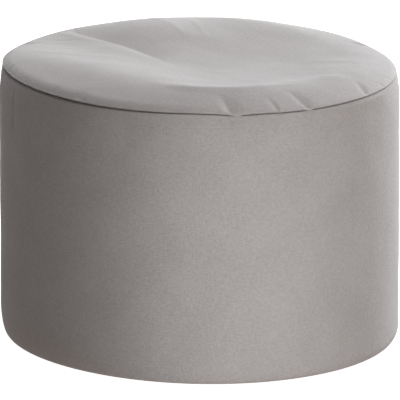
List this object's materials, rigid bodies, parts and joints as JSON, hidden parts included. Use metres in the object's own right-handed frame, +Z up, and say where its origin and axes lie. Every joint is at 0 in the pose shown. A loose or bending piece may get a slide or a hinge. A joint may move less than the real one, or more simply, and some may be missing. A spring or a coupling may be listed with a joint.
{
  "type": "bean bag footstool",
  "caption": "Soft round drum footstool in plain cloth, with a crowned, sat-in top sewn to a tall side; it stands on its flat base as a footrest or low seat.",
  "frame": {"origin": "middle of the flat base, on the floor", "axes": "+Z up, from the base to the top; -Y towards the front, +X to the right seen from the front"},
  "size_m": [0.5058, 0.5, 0.3633],
  "materials": {
    "cover_cloth": "matte plain weave, warm grey"
  },
  "bodies": {
    "root": {"top_panel": "cover_cloth", "side_panel": "cover_cloth", "base_panel": "cover_cloth"}
  },
  "joints": []
}
